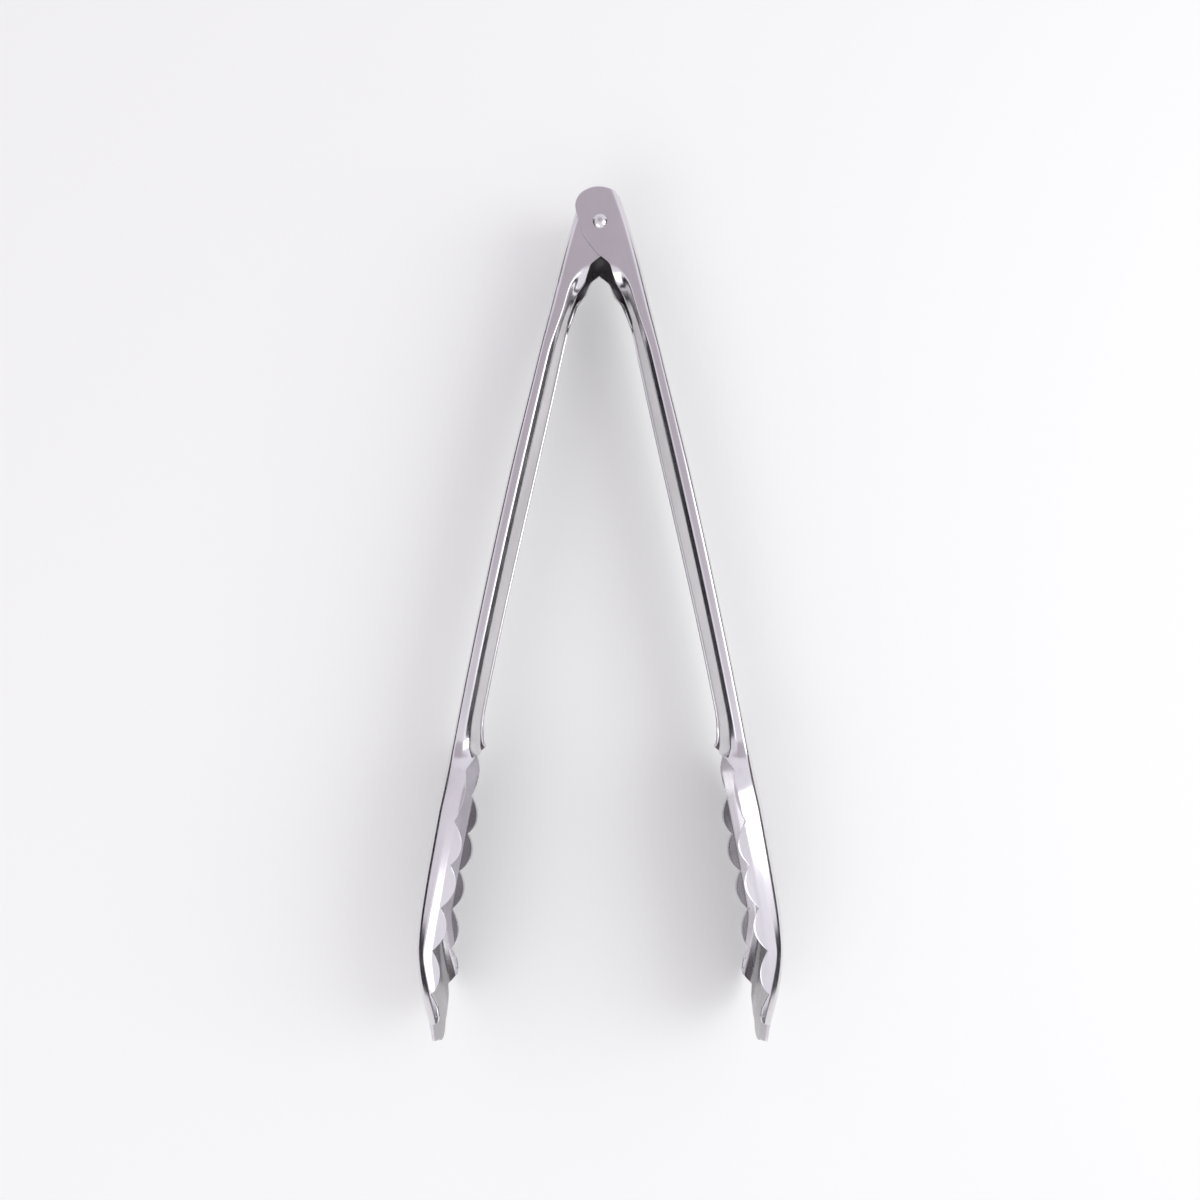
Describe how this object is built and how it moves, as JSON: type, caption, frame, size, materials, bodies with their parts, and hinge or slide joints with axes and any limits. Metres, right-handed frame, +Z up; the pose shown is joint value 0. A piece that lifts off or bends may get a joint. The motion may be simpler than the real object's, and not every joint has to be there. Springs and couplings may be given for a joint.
{
  "type": "kitchen tongs",
  "caption": "Spring loaded kitchen tongs of bent sheet steel: channel arms nested and riveted at the top, held open by a torsion spring, with scalloped gripping heads.",
  "frame": {"origin": "under the middle of the tongs as they lie open, on the plane that the heads rest on", "axes": "+Z up, along the hinge rivet; +Y from the scalloped tips to the hinge; +X towards the outer arm"},
  "size_m": [0.1222, 0.2952, 0.0412],
  "materials": {
    "arm_steel": "polished sheet",
    "rivet_steel": "polished, domed",
    "spring_steel": "drawn wire"
  },
  "bodies": {
    "outer_arm": {"outer_arm": "arm_steel", "pivot_rivet": "rivet_steel", "torsion_spring": "spring_steel"},
    "inner_arm": {"inner_arm": "arm_steel"}
  },
  "joints": [
    {"name": "arm_hinge", "type": "hinge", "parent": "outer_arm", "child": "inner_arm", "pos_m": [0, 0.13556, 0.0206], "axis": [0, 0, 1], "range_deg": [0, 21.5], "stiffness_Nm_per_rad": 0.25, "springref_deg": -28.65, "deforming": ["torsion_spring"]}
  ]
}
